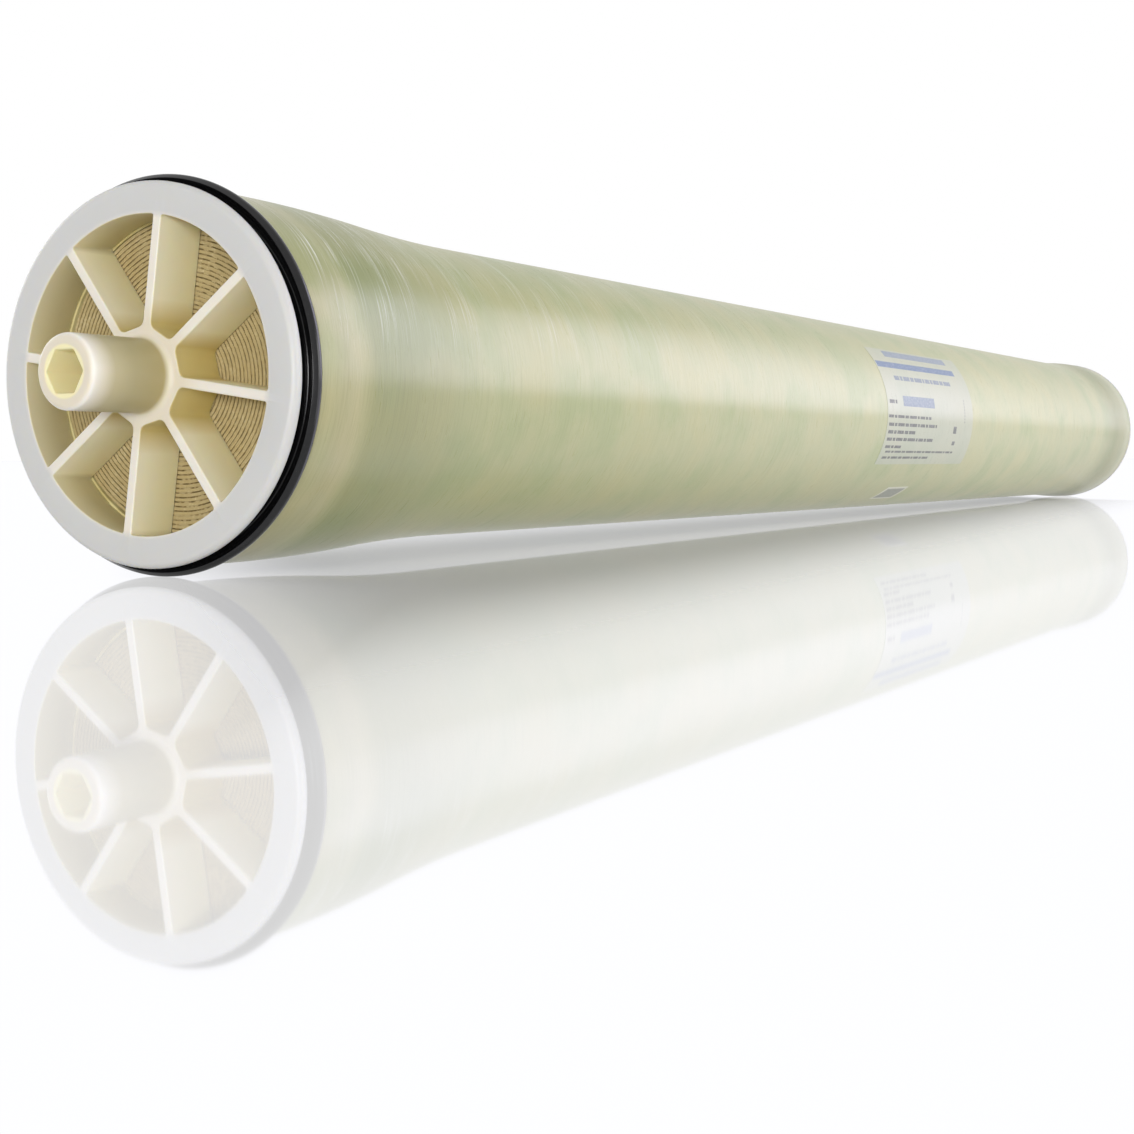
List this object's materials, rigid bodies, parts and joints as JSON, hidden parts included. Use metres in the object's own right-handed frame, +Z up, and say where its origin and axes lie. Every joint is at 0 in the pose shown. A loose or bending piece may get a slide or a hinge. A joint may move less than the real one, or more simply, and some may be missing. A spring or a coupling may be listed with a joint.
{
  "type": "spiral-wound reverse osmosis membrane element",
  "caption": "Long round membrane element in a fibreglass shell, with spoked end caps, water ports and a rubber brine seal at the feed end.",
  "frame": {"origin": "on the axis, midway between the tips of the two product water ports", "axes": "+X along the axis from the feed end to the concentrate end, +Z up as the element lies"},
  "size_m": [1.016, 0.1036, 0.1036],
  "materials": {
    "cap_plastic": "satin moulded ivory plastic",
    "seal_rubber": "black moulded rubber",
    "tube_plastic": "extruded ivory plastic",
    "membrane_sheet": "cast film on non-woven polyester",
    "spacer_net": "extruded polypropylene net",
    "fibreglass": "wound glass fibre in pale green resin",
    "label_film": "translucent film under resin"
  },
  "bodies": {
    "root": {"feed_end_cap": "cap_plastic", "concentrate_end_cap": "cap_plastic", "brine_seal": "seal_rubber", "product_water_tube": "tube_plastic", "fibreglass_shell": "fibreglass", "label": "label_film", "serial_tag": "label_film", "membrane_leaf_1": "membrane_sheet", "membrane_leaf_2": "membrane_sheet", "membrane_leaf_3": "membrane_sheet", "membrane_leaf_4": "membrane_sheet", "feed_spacer_1": "spacer_net", "feed_spacer_2": "spacer_net", "feed_spacer_3": "spacer_net", "feed_spacer_4": "spacer_net"}
  },
  "joints": []
}
